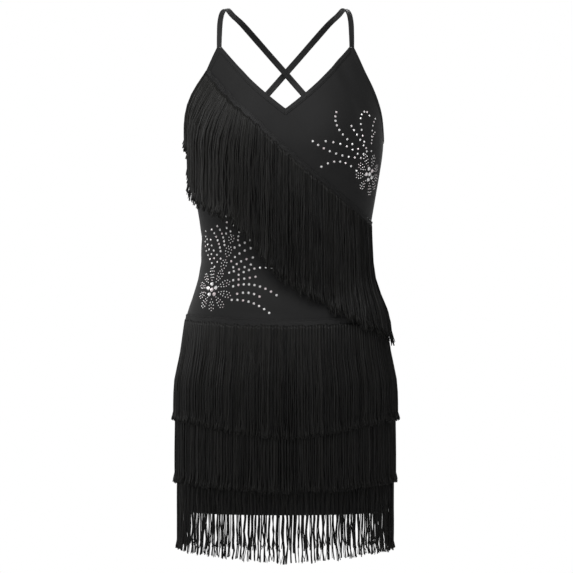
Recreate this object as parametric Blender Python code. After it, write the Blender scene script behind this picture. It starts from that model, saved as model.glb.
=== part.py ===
# A latin dance dress: two body panels, a neck binding, two crossed straps and four fringe trims.
# Metres, +Z up. The origin is midway between the shoulders, under the tops of the straps.
# The front faces -Y. Angles are taken round the Z axis from the front centre, positive towards +X.
import math

import bmesh
import bpy
from mathutils import Vector

WALL = 0.0016          # cloth of a panel
SEAM = 0.0003          # gap between two sewn pieces
HEM_Z = -0.751
UNDERARM_Z = -0.196
STRAP_JOIN_Z = -0.063  # top of the front panel's two tips
BACK_EDGE_Z = -0.210   # top of the back panel at its centre
ROUNDNESS = 2.3        # 2 is an ellipse, more is squarer

NECK_POINT_Z = -0.1565  # bottom of the V
NECK_SLOPE = 0.76      # the V's rise beside its point
NECK_CURVE = 2.3       # how fast it steepens, per metre
BINDING_DROP = 0.0095  # the neck binding's height, taken straight down
BINDING_THICKNESS = 0.0012

BUST_Z = -0.172
BUST_ANGLE = 0.62
BUST_RISE = 0.010
BUST_SPAN = 0.36       # in radians round the body
BUST_HEIGHT = 0.052

STRAP_WIDTH = 0.0086
STRAP_THICKNESS = 0.0018
STRAP_PARTING = 0.0042  # how far the outer strap stands off where the two cross
STRAP_GAP = 0.0005      # from a strap's middle section to the cloth it is sewn on
SHOULDER_DROP = 0.060   # over this height a strap turns from lying flat to standing upright

TAPE_THICKNESS = 0.002
LOCK_SHARE = 0.73      # of the pitch, the rest is the gap beside a lock
TIP_SHARE = 0.75       # a lock's width at its tip

# The body's sections: height, half width, depth to the front, depth to the back.
BODY = (
    (-0.040, 0.1500, 0.0740, 0.0860),
    (-0.100, 0.1490, 0.0920, 0.0980),
    (-0.150, 0.1475, 0.1080, 0.1040),
    (-0.196, 0.1470, 0.1160, 0.1040),
    (-0.226, 0.1445, 0.1140, 0.1010),
    (-0.286, 0.1345, 0.1030, 0.0950),
    (-0.330, 0.1275, 0.0975, 0.0920),
    (-0.365, 0.1265, 0.0965, 0.0940),
    (-0.400, 0.1300, 0.0995, 0.1005),
    (-0.430, 0.1385, 0.1045, 0.1085),
    (-0.460, 0.1480, 0.1085, 0.1160),
    (-0.500, 0.1530, 0.1120, 0.1240),
    (-0.550, 0.1565, 0.1140, 0.1300),
    (-0.600, 0.1580, 0.1120, 0.1310),
    (-0.680, 0.1550, 0.1080, 0.1260),
    (-0.751, 0.1510, 0.1050, 0.1200),
)

# The front panel's outer edge above the underarm: height, half width.
ARMHOLE = (
    (-0.063, 0.1010),
    (-0.075, 0.1069),
    (-0.099, 0.1178),
    (-0.122, 0.1292),
    (-0.146, 0.1388),
    (-0.166, 0.1440),
    (-0.196, 0.1470),
)

FRONT_ROWS = (
    STRAP_JOIN_Z, -0.078, -0.093, -0.108, -0.124, -0.140, NECK_POINT_Z, -0.175, UNDERARM_Z,
    -0.220, -0.250, -0.280, -0.310, -0.340, -0.370, -0.400, -0.430, -0.460, -0.500, -0.550,
    -0.600, -0.650, -0.700, HEM_Z,
)
BACK_ROWS = (
    UNDERARM_Z, -0.220, -0.250, -0.280, -0.310, -0.340, -0.370, -0.400, -0.430, -0.460,
    -0.500, -0.550, -0.600, -0.650, -0.700, HEM_Z,
)
FRONT_COLUMNS = 16     # on each side of the centre
BACK_COLUMNS = 24
BINDING_COLUMNS = 12   # on each side of the centre

# The middle line of the strap on the wearer's left, from the front panel to the back panel.
STRAP = (
    (0.0980, -0.0660, STRAP_JOIN_Z + SEAM),
    (0.0978, -0.0590, -0.0440),
    (0.0970, -0.0450, -0.0230),
    (0.0940, -0.0250, -0.0075),
    (0.0880, 0.0000, -0.0005),
    (0.0790, 0.0260, -0.0080),
    (0.0660, 0.0480, -0.0185),
    (0.0450, 0.0710, -0.0405),
    (0.0237, 0.0870, -0.0638),
    (0.0000, 0.0970, -0.0900),
    (-0.0190, 0.1020, -0.1115),
    (-0.0590, 0.0990, -0.1570),
    (-0.0900, 0.0870, -0.1950),
    (-0.1010, 0.0790, -0.2110),
)
STRAP_STEPS = 3        # sections for each stretch of that line

# The three rounds of fringe: lower edge of the tape and tips, at the side and at the front and
# back centre, and how far the locks stand off the body over what lies under them.
ROUNDS = (
    {"name": "fringe_hip", "edge": (-0.470, -0.477), "tips": (-0.613, -0.638),
     "locks": 72, "steps": 4, "over": -0.550, "clear": 0.0018, "clear_over": 0.0095},
    {"name": "fringe_middle", "edge": (-0.560, -0.560), "tips": (-0.706, -0.718),
     "locks": 72, "steps": 3, "over": -0.640, "clear": 0.0030, "clear_over": 0.0090},
    {"name": "fringe_hem", "edge": (-0.660, -0.660), "tips": (-0.806, -0.820),
     "locks": 72, "steps": 2, "over": -0.680, "clear": 0.0040, "clear_over": 0.0060},
)
ROUND_TAPE = 0.013     # height of a tape that goes round
TIP_WAVE = 0.0025      # how unevenly the locks end

# The diagonal trim: middle line of its tape, half width and height.
DIAGONAL = (
    (-0.116, -0.098),
    (-0.089, -0.131),
    (-0.041, -0.177),
    (0.019, -0.233),
    (0.084, -0.287),
    (0.129, -0.326),
)
DIAGONAL_TAPE = 0.0095
DIAGONAL_LOCKS = 34
DIAGONAL_STEPS = 8
DIAGONAL_ANGLES = (-1.045, 1.555)
# How far its locks fall, how far they swing to the side and how far they stand off the body:
# angle, fall, swing in radians, clearance, clearance over the hip trim.
FALL = (
    (-1.045, 0.150, -0.20, 0.0095, 0.0095),
    (-0.970, 0.172, -0.22, 0.0092, 0.0092),
    (-0.900, 0.172, -0.22, 0.0090, 0.0090),
    (-0.650, 0.170, -0.10, 0.0070, 0.0070),
    (-0.500, 0.168, -0.04, 0.0062, 0.0062),
    (-0.350, 0.178, 0.00, 0.0055, 0.0055),
    (-0.200, 0.191, 0.00, 0.0055, 0.0055),
    (0.000, 0.193, 0.00, 0.0055, 0.0055),
    (0.600, 0.187, 0.00, 0.0045, 0.0055),
    (1.200, 0.178, 0.00, 0.0030, 0.0050),
    (1.555, 0.174, 0.00, 0.0015, 0.0045),
)
DIAGONAL_GAP = 0.0009
DIAGONAL_OVER_Z = -0.425

SWING_SHARE = 0.45     # of its fall, over which a lock swings to the side
STEP_POWER = 1.3       # a lock's sections are closer together near its root


def along(rows, at):
    """The columns of a table at a place, on a smooth curve through its rows."""
    places = [row[0] for row in rows]
    falling = places[0] > places[-1]
    last = len(rows) - 2
    i = 0
    while i < last and (at < places[i + 1] if falling else at > places[i + 1]):
        i += 1
    span = places[i + 1] - places[i]
    t = min(max((at - places[i]) / span, 0.0), 1.0)
    found = []
    for c in range(1, len(rows[0])):
        def slope(k):
            low, high = max(k - 1, 0), min(k + 1, len(rows) - 1)
            return (rows[high][c] - rows[low][c]) / (places[high] - places[low]) * span
        start, end = rows[i][c], rows[i + 1][c]
        found.append(
            start * (2 * t**3 - 3 * t**2 + 1)
            + slope(i) * (t**3 - 2 * t**2 + t)
            + end * (3 * t**2 - 2 * t**3)
            + slope(i + 1) * (t**3 - t**2)
        )
    return found


def reach(angle, z):
    """How far the body's surface is from its axis."""
    half_width, front, back = along(BODY, z)
    depth = front if math.cos(angle) > 0 else back
    across = abs(math.sin(angle)) / half_width
    deep = abs(math.cos(angle)) / depth
    section = (across**ROUNDNESS + deep**ROUNDNESS) ** (-1 / ROUNDNESS)
    height = math.exp(-(((z - BUST_Z) / BUST_HEIGHT) ** 2))
    bust = sum(
        math.exp(-(((angle - side * BUST_ANGLE) / BUST_SPAN) ** 2)) for side in (-1, 1)
    )
    return section + BUST_RISE * height * bust


def point(angle, z, out=0.0):
    """A point that far out from the body's surface."""
    r = reach(angle, z) + out
    return Vector((r * math.sin(angle), -r * math.cos(angle), z))


def angle_at(x, z):
    """The angle at which the front of the body is that far to the side."""
    half_width, front, _ = along(BODY, z)
    share = min(abs(x) / half_width, 1.0)
    deep = front * (1 - share**ROUNDNESS) ** (1 / ROUNDNESS)
    return math.copysign(math.atan2(abs(x), deep), x)


def neck_half_width(z):
    rise = max(z - NECK_POINT_Z, 0.0)
    return (math.sqrt(NECK_SLOPE**2 + 4 * NECK_CURVE * rise) - NECK_SLOPE) / (2 * NECK_CURVE)


def neck_z(x):
    return NECK_POINT_Z + NECK_SLOPE * abs(x) + NECK_CURVE * x * x


def even_angles(count, z, start=-math.pi, end=math.pi):
    """Angles that part the body's outline into equal lengths."""
    fine = 720
    angles = [start + (end - start) * k / fine for k in range(fine + 1)]
    lengths = [0.0]
    for a, b in zip(angles, angles[1:]):
        lengths.append(lengths[-1] + (point(b, z) - point(a, z)).length)
    found, k = [], 0
    for i in range(count + 1):
        wanted = lengths[-1] * i / count
        while k < fine - 1 and lengths[k + 1] < wanted:
            k += 1
        part = (wanted - lengths[k]) / (lengths[k + 1] - lengths[k])
        found.append(angles[k] + (angles[k + 1] - angles[k]) * part)
    return found


def material(name, colour, roughness):
    made = bpy.data.materials.new(name)
    made.use_nodes = True
    shader = made.node_tree.nodes["Principled BSDF"]
    shader.inputs["Base Color"].default_value = (*colour, 1)
    shader.inputs["Roughness"].default_value = roughness
    shader.inputs["Sheen Weight"].default_value = 0.3
    return made


def add_object(name, bm, slot):
    bmesh.ops.recalc_face_normals(bm, faces=bm.faces)
    mesh = bpy.data.meshes.new(name)
    bm.to_mesh(mesh)
    bm.free()
    mesh.materials.append(slot)
    made = bpy.data.objects.new(name, mesh)
    bpy.context.scene.collection.objects.link(made)
    return made


def walled(name, outer, inner, faces, slot):
    """A closed wall between two sets of points that share their faces."""
    bm = bmesh.new()
    front = [bm.verts.new(p) for p in outer]
    rear = [bm.verts.new(p) for p in inner]
    edges = {}
    for face in faces:
        bm.faces.new([front[k] for k in face])
        bm.faces.new([rear[k] for k in reversed(face)])
        for a, b in zip(face, face[1:] + face[:1]):
            edges[a, b] = True
    for a, b in edges:
        if (b, a) not in edges:
            bm.faces.new([front[b], front[a], rear[a], rear[b]])
    return add_object(name, bm, slot)


def front_panel(slot):
    outer, inner, index, faces = [], [], {}, []
    for row, z in enumerate(FRONT_ROWS):
        half_width = along(BODY, z)[0]
        if z > UNDERARM_Z:
            edge = angle_at(min(along(ARMHOLE, z)[0], half_width), z)
        else:
            edge = math.pi / 2
        edge = min(edge, math.pi / 2 - SEAM / 2 / half_width)
        neck = angle_at(neck_half_width(z), z) if z > NECK_POINT_Z else 0.0
        for side in (-1, 1):
            for column in range(FRONT_COLUMNS + 1):
                if column == 0 and side == 1 and z <= NECK_POINT_Z:
                    index[row, side, 0] = index[row, -1, 0]
                    continue
                angle = side * (neck + (edge - neck) * column / FRONT_COLUMNS)
                index[row, side, column] = len(outer)
                outer.append(point(angle, z))
                inner.append(point(angle, z, -WALL))
    for row in range(len(FRONT_ROWS) - 1):
        for side in (-1, 1):
            for column in range(FRONT_COLUMNS):
                face = [
                    index[row, side, column], index[row + 1, side, column],
                    index[row + 1, side, column + 1], index[row, side, column + 1],
                ]
                faces.append(face if side == 1 else face[::-1])
    return walled("front_panel", outer, inner, faces, slot)


def back_edge_z(angle):
    """The height of the back panel's top edge, level with the underarm at the side seams."""
    return UNDERARM_Z + (BACK_EDGE_Z - UNDERARM_Z) * math.cos(angle) ** 2


def back_panel(slot):
    outer, inner, faces = [], [], []
    for row, z in enumerate(BACK_ROWS):
        seam = math.pi / 2 + SEAM / 2 / along(BODY, z)[0]
        for column in range(BACK_COLUMNS + 1):
            angle = seam + (2 * math.pi - 2 * seam) * column / BACK_COLUMNS
            height = back_edge_z(angle) if row == 0 else z
            outer.append(point(angle, height))
            inner.append(point(angle, height, -WALL))
    wide = BACK_COLUMNS + 1
    for row in range(len(BACK_ROWS) - 1):
        for column in range(BACK_COLUMNS):
            k = row * wide + column
            faces.append([k, k + wide, k + wide + 1, k + 1])
    return walled("back_panel", outer, inner, faces, slot)


def neck_binding(slot):
    outer, inner, faces = [], [], []
    widest = neck_half_width(STRAP_JOIN_Z)
    for column in range(-BINDING_COLUMNS, BINDING_COLUMNS + 1):
        x = widest * column / BINDING_COLUMNS
        for z in (neck_z(x), neck_z(x) - BINDING_DROP):
            angle = angle_at(x, z)
            outer.append(point(angle, z, SEAM + BINDING_THICKNESS))
            inner.append(point(angle, z, SEAM))
    for column in range(2 * BINDING_COLUMNS):
        k = 2 * column
        faces.append([k, k + 1, k + 3, k + 2])
    return walled("neck_binding", outer, inner, faces, slot)


def strap(name, side, slot):
    """A flat band along the strap's line; side -1 is the wearer's right, which lies inside."""
    rows = [(i, *p) for i, p in enumerate(STRAP)]
    count = (len(STRAP) - 1) * STRAP_STEPS
    middle = []
    for k in range(count + 1):
        p = Vector(along(rows, k / STRAP_STEPS))
        if p.y > 0 and p.z < NECK_POINT_Z:
            angle = math.atan2(p.x, -p.y)
            on_cloth = point(angle, p.z, STRAP_GAP + STRAP_THICKNESS / 2)
            p = on_cloth if on_cloth.y > p.y else p
        parting = math.exp(-((p.x / 0.030) ** 2)) if side == 1 else 0.0
        middle.append(Vector((side * p.x, p.y + STRAP_PARTING * parting, p.z)))
    bm = bmesh.new()
    rings = []
    for k, p in enumerate(middle):
        ahead = (middle[min(k + 1, count)] - middle[max(k - 1, 0)]).normalized()
        lift = min(max(1 + p.z / SHOULDER_DROP, 0.0), 1.0)
        splay = 0.20 + 0.25 * min(max(-p.z / 0.030 - 1, 0.0), 1.0)
        out = Vector((p.x * splay, p.y, 0.0)).normalized() * (1 - lift) + Vector((0, 0, lift))
        across = ahead.cross(out).normalized() * (STRAP_WIDTH / 2)
        thick = across.cross(ahead).normalized() * (STRAP_THICKNESS / 2)
        if k == 0:
            across.z = thick.z = 0.0
        rings.append([
            bm.verts.new(p + across + thick), bm.verts.new(p - across + thick),
            bm.verts.new(p - across - thick), bm.verts.new(p + across - thick),
        ])
    for a, b in zip(rings, rings[1:]):
        for j in range(4):
            bm.faces.new([a[j], a[(j + 1) % 4], b[(j + 1) % 4], b[j]])
    bm.faces.new(rings[0])
    bm.faces.new(rings[-1][::-1])
    return add_object(name, bm, slot)


def eased(high, low, z, over):
    """From the first value above a height to the second one below it."""
    t = min(max((over + 0.02 - z) / 0.04, 0.0), 1.0)
    return high + (low - high) * t


def hang(bm, root, steps, tip_z, clearance, swing):
    """A lock from the four corners of its root down to its tip.

    Each corner keeps its place round the body, and goes out where the body is in its way.
    The root's corners are the first side's inner and outer, then the second side's.
    """
    corners = [(math.atan2(v.co.x, -v.co.y), math.hypot(v.co.x, v.co.y), v.co.z) for v in root]
    centre = (corners[0][0] + corners[2][0]) / 2
    if abs(corners[0][0] - corners[2][0]) > math.pi:
        centre = math.pi
    far = [corners[0][1], corners[2][1]]
    ring = root
    for step in range(1, steps + 1):
        t = (step / steps) ** STEP_POWER
        swung = swing * math.sin(min(t / SWING_SHARE, 1.0) * math.pi / 2)
        made = []
        for side, (angle, _, z) in enumerate((corners[0], corners[2])):
            if centre == math.pi:
                angle %= 2 * math.pi
            share = 1 + (TIP_SHARE - 1) * t
            turned = centre + (angle - centre) * share + swung
            height = z + (tip_z - z) * t
            near = reach(turned, height) + clearance(height)
            far[side] = near if swing and t < SWING_SHARE else max(far[side], near)
            for thickness in (0.0, TAPE_THICKNESS):
                r = far[side] + thickness
                made.append(bm.verts.new((r * math.sin(turned), -r * math.cos(turned), height)))
        for j, k in ((0, 1), (1, 3), (3, 2), (2, 0)):
            bm.faces.new([ring[j], ring[k], made[k], made[j]])
        ring = made
    bm.faces.new([ring[0], ring[1], ring[3], ring[2]])


def fringe(name, sections, closed, locks, slot):
    """A tape with locks fused to its lower edge.

    A section is its upper inner, upper outer, lower inner and lower outer point. Every second
    stretch of the tape, from the first on, carries a lock: (steps, tip, clearance, swing).
    """
    bm = bmesh.new()
    rings = [[bm.verts.new(p) for p in section] for section in sections]
    count = len(rings)
    for k in range(count if closed else count - 1):
        a, b = rings[k], rings[(k + 1) % count]
        for i, j in ((0, 1), (1, 3), (2, 0)):
            bm.faces.new([a[i], a[j], b[j], b[i]])
        root = [a[2], a[3], b[2], b[3]]
        if k % 2 == 0:
            hang(bm, root, *locks[k // 2])
        else:
            bm.faces.new([a[3], a[2], b[2], b[3]])
    if not closed:
        for ring in (rings[0], rings[-1]):
            bm.faces.new([ring[0], ring[1], ring[3], ring[2]])
    return add_object(name, bm, slot)


def level(pair, angle):
    """A height that goes from the first value at the sides to the second at front and back."""
    side, middle = pair
    return side + (middle - side) * math.cos(angle) ** 2


def round_fringe(plan, slot):
    edge_z = plan["edge"][0]
    starts = even_angles(plan["locks"], edge_z)
    sections, locks = [], []

    def clearance(z):
        return eased(plan["clear"], plan["clear_over"], z, plan["over"])

    for k in range(plan["locks"]):
        start, end = starts[k], starts[k + 1]
        for angle in (start, start + (end - start) * LOCK_SHARE):
            low = level(plan["edge"], angle)
            sections.append([
                point(angle, low + ROUND_TAPE, SEAM),
                point(angle, low + ROUND_TAPE, SEAM + TAPE_THICKNESS),
                point(angle, low, SEAM),
                point(angle, low, SEAM + TAPE_THICKNESS),
            ])
        tip = level(plan["tips"], start) + TIP_WAVE * math.sin(2.4 * k)
        locks.append((plan["steps"], tip, clearance, 0.0))
    return fringe(plan["name"], sections, True, locks, slot)


def diagonal_middle(angle):
    """The height of the diagonal tape's middle line at an angle."""
    z = DIAGONAL[2][1]
    for _ in range(12):
        z = along(DIAGONAL, point(angle, z).x)[0]
    return z


def diagonal_fringe(slot):
    first, last = DIAGONAL_ANGLES
    pitch = (last - first) / DIAGONAL_LOCKS
    angles = []
    for k in range(DIAGONAL_LOCKS):
        angles += [first + pitch * k, first + pitch * (k + LOCK_SHARE)]
    sections, locks = [], []
    for angle in angles:
        nearby = [point(angle + turn, diagonal_middle(angle + turn)) for turn in (-0.01, 0.01)]
        ahead = (nearby[1] - nearby[0]).normalized()
        outward = Vector((math.sin(angle), -math.cos(angle), 0.0))
        across = outward.cross(ahead).normalized() * (DIAGONAL_TAPE / 2)
        across *= 1 if across.z > 0 else -1
        middle = point(angle, diagonal_middle(angle))
        section = []
        for side in (1, -1):
            p = middle + across * side
            turned = min(math.atan2(p.x, -p.y), math.pi / 2)
            for out in (DIAGONAL_GAP, DIAGONAL_GAP + TAPE_THICKNESS):
                section.append(point(turned, p.z, out))
        sections.append(section)
    for k in range(DIAGONAL_LOCKS):
        fall, swing, clear, clear_over = along(FALL, angles[2 * k])

        def clearance(z, clear=clear, clear_over=clear_over):
            return eased(clear, clear_over, z, DIAGONAL_OVER_Z)

        tip = diagonal_middle(angles[2 * k]) - fall + TIP_WAVE * math.sin(2.4 * k)
        locks.append((DIAGONAL_STEPS, tip, clearance, swing))
    return fringe("fringe_diagonal", sections, False, locks, slot)


def build():
    for old in list(bpy.data.objects):
        bpy.data.objects.remove(old, do_unlink=True)
    jersey = material("jersey", (0.020, 0.020, 0.020), 0.75)
    elastic = material("strap_elastic", (0.022, 0.022, 0.022), 0.60)
    threads = material("fringe_thread", (0.010, 0.010, 0.010), 0.50)
    front_panel(jersey)
    back_panel(jersey)
    neck_binding(elastic)
    strap("strap_right", -1, elastic)
    strap("strap_left", 1, elastic)
    diagonal_fringe(threads)
    for plan in ROUNDS:
        round_fringe(plan, threads)


build()
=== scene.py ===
import math

import bmesh
import bpy
import numpy as np
from mathutils import Matrix, Vector


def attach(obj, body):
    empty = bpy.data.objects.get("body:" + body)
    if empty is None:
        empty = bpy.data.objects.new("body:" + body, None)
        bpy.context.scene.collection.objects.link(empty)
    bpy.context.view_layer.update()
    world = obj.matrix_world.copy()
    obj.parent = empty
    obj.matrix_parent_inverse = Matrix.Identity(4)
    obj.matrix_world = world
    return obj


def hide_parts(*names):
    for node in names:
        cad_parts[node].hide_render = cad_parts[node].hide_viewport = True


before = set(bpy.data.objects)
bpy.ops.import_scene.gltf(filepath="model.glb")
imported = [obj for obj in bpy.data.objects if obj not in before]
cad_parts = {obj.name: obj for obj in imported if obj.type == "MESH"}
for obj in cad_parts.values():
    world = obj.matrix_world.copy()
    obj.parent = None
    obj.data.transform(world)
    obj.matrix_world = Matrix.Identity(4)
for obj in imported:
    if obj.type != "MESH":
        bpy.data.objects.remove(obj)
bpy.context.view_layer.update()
mm = 1000  # of them in a metre

# Metres, and millimetres in the tables that say mm. Angles go round the Z axis from the front
# centre, positive towards +X, heights are Z, and "out" is the distance out from the cloth.

figure = {
    # mm: height, half width, depth to the front and to the back
    "sections": (
        (-40, 150, 74, 86),
        (-100, 149, 92, 98),
        (-150, 147.5, 108, 104),
        (-196, 147, 116, 104),
        (-226, 144.5, 114, 101),
        (-286, 134.5, 103, 95),
        (-330, 127.5, 97.5, 92),
        (-365, 126.5, 96.5, 94),
        (-400, 130, 99.5, 100.5),
        (-430, 138.5, 104.5, 108.5),
        (-460, 148, 108.5, 116),
        (-500, 153, 112, 124),
        (-550, 156.5, 114, 130),
        (-600, 158, 112, 131),
        (-680, 155, 108, 126),
        (-751, 151, 105, 120),
    ),
    "roundness": 2.3,  # 2 is an ellipse, more is squarer
    "girthRadius": 0.135,  # turns an angle into a distance round the body
    "bustHeight": -0.172,
    "bustAngle": 0.62,
    "bustRise": 0.01,
    "bustSpan": 0.36,
    "bustReach": 0.052,
    "hem": -0.751,
    "underarm": -0.196,
    "backEdge": -0.21,  # top of the back at its centre
}
girth = figure["girthRadius"]
sections = np.array(figure["sections"]) / mm

neckLine = {
    "point": -0.1565,  # bottom of the V
    "slope": 0.76,
    "curve": 2.3,  # how fast the V steepens, per metre
    "top": -0.063,  # where the straps join
}

# Soft troughs and ridges: angle and height (mm) of both ends, half width and depth (mm).
creases = (
    (0.8, -85, 0.97, -180, 10, -1.6),
    (0.7, -90, 0.82, -170, 8, 0.7),
    (1.05, -215, 0.62, -250, 9, -1.2),
    (1.3, -240, 0.85, -285, 8, -0.9),
    (0.06, -168, 0.3, -205, 6, -0.6),
    (-0.6, -85, -0.74, -160, 9, -0.9),
    (-0.95, -235, -0.55, -262, 9, -1),
    (1.62, -338, 1.02, -326, 7, -1.4),
    (1.7, -372, 1.12, -366, 8, -1.2),
    (1.62, -355, 1.16, -348, 5, 0.6),
    (-1.66, -345, -0.88, -336, 8, -1.3),
    (-1.62, -380, -0.98, -373, 7, -1.1),
    (-0.62, -454, 0.2, -459, 5, -0.8),
    (-0.1, -395, 0.52, -414, 10, -0.6),
    (2.1, -232, 2.75, -262, 10, -1.2),
    (-2.2, -228, -2.8, -255, 9, -1.3),
    (2.3, -330, 3.55, -342, 9, -2),
    (2.55, -362, 3.4, -368, 8, -1.6),
    (2.75, -348, 3.3, -354, 5, 0.8),
    (-2.3, -385, -2.95, -378, 8, -1.4),
    (2.00, -400, 2.52, -388, 8, -1),
)
creaseEnds = 0.55  # how much of its depth a crease has at its ends
seamRoll = (0.0011, 0.0028)  # depth and half width of the dip along the side seams
# Points that a curve is followed by where lengths are measured along it.
steps = {"round": 1441, "armhole": 400, "diagonal": 600, "front": 400, "leaf": 241}
weld = {"halves": 0.00005, "band": 0.00001}  # how close points are joined


def along(rows, at):
    # the columns of a table at a place, or at many places, on a smooth curve through its rows
    table = np.array(rows, float)
    if table[0, 0] > table[-1, 0]:
        table = table[::-1]
    places, values = table[:, 0], table[:, 1:]
    low = np.maximum(np.arange(len(places)) - 1, 0)
    high = np.minimum(np.arange(len(places)) + 1, len(places) - 1)
    slopes = (values[high] - values[low]) / (places[high] - places[low])[:, None]
    at = np.clip(np.asarray(at, float), places[0], places[-1])
    i = np.clip(np.searchsorted(places, at) - 1, 0, len(places) - 2)
    span = (places[i + 1] - places[i])[..., None]
    t = (at - places[i])[..., None] / span
    found = (
        values[i] * (2 * t**3 - 3 * t**2 + 1)
        + slopes[i] * span * (t**3 - 2 * t**2 + t)
        + values[i + 1] * (3 * t**2 - 2 * t**3)
        + slopes[i + 1] * span * (t**3 - t**2)
    )
    return np.moveaxis(found, -1, 0)


def smooth(t, low, high):
    t = np.clip((t - low) / (high - low), 0, 1)
    return t * t * (3 - 2 * t)


def bell(x, halfWidth):
    return np.exp(-((x / halfWidth) ** 2))


def wrapped(angle):
    # the same angle, brought between -pi and pi
    return np.angle(np.exp(1j * np.asarray(angle)))


def unit(rows):
    return rows / np.linalg.norm(rows, axis=-1, keepdims=True)


def travelled(line):
    # how far each point of a line is from its start
    return np.concatenate([[0.0], np.cumsum(np.linalg.norm(np.diff(line, axis=0), axis=1))])


def reach(angle, z):
    # how far the figure's surface is from the axis
    halfWidth, front, back = along(sections, z)
    depth = np.where(np.cos(angle) > 0, front, back)
    power = figure["roundness"]
    across = np.abs(np.sin(angle)) / halfWidth
    deep = np.abs(np.cos(angle)) / depth
    section = (across**power + deep**power) ** (-1 / power)
    height = bell(z - figure["bustHeight"], figure["bustReach"])
    turned = wrapped(angle)
    bust = sum(bell(turned - side * figure["bustAngle"], figure["bustSpan"]) for side in (-1, 1))
    return section + figure["bustRise"] * height * bust


def creaseAt(angle, z):
    # how far creases and side seams move the cloth out or in
    moved = np.zeros(np.broadcast(angle, z).shape)
    for startAngle, startZ, endAngle, endZ, halfWidth, depth in np.array(creases) / (1, mm, 1, mm, mm, mm):
        middle = (startAngle + endAngle) / 2
        runX = (endAngle - startAngle) * girth
        runZ = endZ - startZ
        x = (wrapped(angle - middle) + middle - startAngle) * girth
        y = z - startZ
        share = np.clip((x * runX + y * runZ) / (runX**2 + runZ**2), 0, 1)
        distance = np.hypot(x - share * runX, y - share * runZ)
        deepening = creaseEnds + (1 - creaseEnds) * np.sin(math.pi * share)
        moved = moved + depth * bell(distance, halfWidth) * deepening
    fromSeam = (np.abs(wrapped(angle)) - math.pi / 2) * girth
    depth, halfWidth = seamRoll
    return moved - depth * bell(fromSeam, halfWidth)


def spot(angle, z, out=0.0, creased=True):
    # points that far out from the cloth, as rows of x, y, z
    angle, z = np.broadcast_arrays(np.asarray(angle, float), np.asarray(z, float))
    r = reach(angle, z) + out + (creaseAt(angle, z) if creased else 0.0)
    return np.stack([r * np.sin(angle), -r * np.cos(angle), z], axis=-1)


def angleAt(x, z):
    # the angle at which the front is that far to the side, from the plain section
    halfWidth, front, _ = along(sections, z)
    share = np.minimum(np.abs(x) / halfWidth, 1.0)
    deep = front * (1 - share ** figure["roundness"]) ** (1 / figure["roundness"])
    return np.copysign(np.arctan2(np.abs(x), deep), x)


def neckHalfWidth(z):
    rise = np.maximum(z - neckLine["point"], 0.0)
    slope, curve = neckLine["slope"], neckLine["curve"]
    return (np.sqrt(slope**2 + 4 * curve * rise) - slope) / (2 * curve)


def evenAngles(shares, z):
    # angles at shares of the way round the figure, by the length of its outline
    fine = np.linspace(-math.pi, math.pi, steps["round"])
    lengths = travelled(spot(fine, z, creased=False))
    return np.interp(np.asarray(shares) * lengths[-1], lengths, fine)


def mappedGrid(columns, rows, place):
    # a grid whose points go where place(across, up) says, both from 0 to 1
    bm = bmesh.new()
    bmesh.ops.create_grid(bm, x_segments=columns, y_segments=rows, size=0.5)
    shares = np.array([vert.co[:2] for vert in bm.verts]) + 0.5
    for vert, co in zip(bm.verts, place(shares[:, 0], shares[:, 1])):
        vert.co = co
    return bm


def closeBand(bm, openEnded=True):
    # joins a band that was mapped right round, and closes its ends
    bmesh.ops.remove_doubles(bm, verts=bm.verts, dist=weld["band"])
    if openEnded:
        bmesh.ops.holes_fill(bm, edges=bm.edges, sides=0)
    bmesh.ops.recalc_face_normals(bm, faces=bm.faces)


def wrapMap(bm):
    # a UV map in metres: round the figure and up it, unbroken at the back
    layer = bm.loops.layers.uv.new("surface")
    for face in bm.faces:
        behind = face.calc_center_median().y > 0
        for loop in face.loops:
            x, y, z = loop.vert.co
            angle = math.atan2(x, y) + math.pi if behind else math.atan2(-x, -y)
            loop[layer].uv = (angle * girth, z)


def bandMap(bm, columns, rows, length, width):
    # a UV map in metres along and across a band made by mappedGrid
    layer = bm.loops.layers.uv.new("surface")
    for index, face in enumerate(bm.faces):
        row, column = divmod(index, columns)
        for loop, (right, up) in zip(face.loops, ((0, 0), (1, 0), (1, 1), (0, 1))):
            loop[layer].uv = ((column + right) / columns * length, (row + up) / rows * width)


def meshFrom(name, bm):
    mesh = bpy.data.meshes.new(name)
    bm.to_mesh(mesh)
    bm.free()
    return mesh


def addObject(name, data):
    made = bpy.data.objects.new(name, data)
    bpy.context.scene.collection.objects.link(made)
    return made


def addPiece(name, mesh, material, wall=0.0, smooth=True):
    mesh.materials.append(material)
    if smooth:
        mesh.shade_smooth()
    piece = addObject(name, mesh)
    if wall:
        solid = piece.modifiers.new("wall", "SOLIDIFY")
        solid.thickness = wall
        solid.offset = -1
    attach(piece, "root")
    return piece


def addNode(tree, kind, settings=None, values=None):
    node = tree.nodes.new("ShaderNode" + kind)
    for name, value in (settings or {}).items():
        setattr(node, name, value)
    for name, value in (values or {}).items():
        node.inputs[name].default_value = value
    return node


def addMath(tree, operation, second=None):
    return addNode(tree, "Math", {"operation": operation}, {} if second is None else {1: second})


def join(tree, *links):
    # each link is a node and its output, then a node and its input
    for source, output, target, socket in links:
        tree.links.new(source.outputs[output], target.inputs[socket])


def newGroup(name, inputs, outputs):
    # an input with no value of its own is a vector, and all else is a number
    group = bpy.data.node_groups.new(name, "ShaderNodeTree")
    for label, value in inputs.items():
        kind = "NodeSocketVector" if value is None else "NodeSocketFloat"
        socket = group.interface.new_socket(name=label, in_out="INPUT", socket_type=kind)
        if value is not None:
            socket.default_value = value
    for label in outputs:
        group.interface.new_socket(name=label, in_out="OUTPUT", socket_type="NodeSocketFloat")
    return group, group.nodes.new("NodeGroupInput"), group.nodes.new("NodeGroupOutput")


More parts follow.
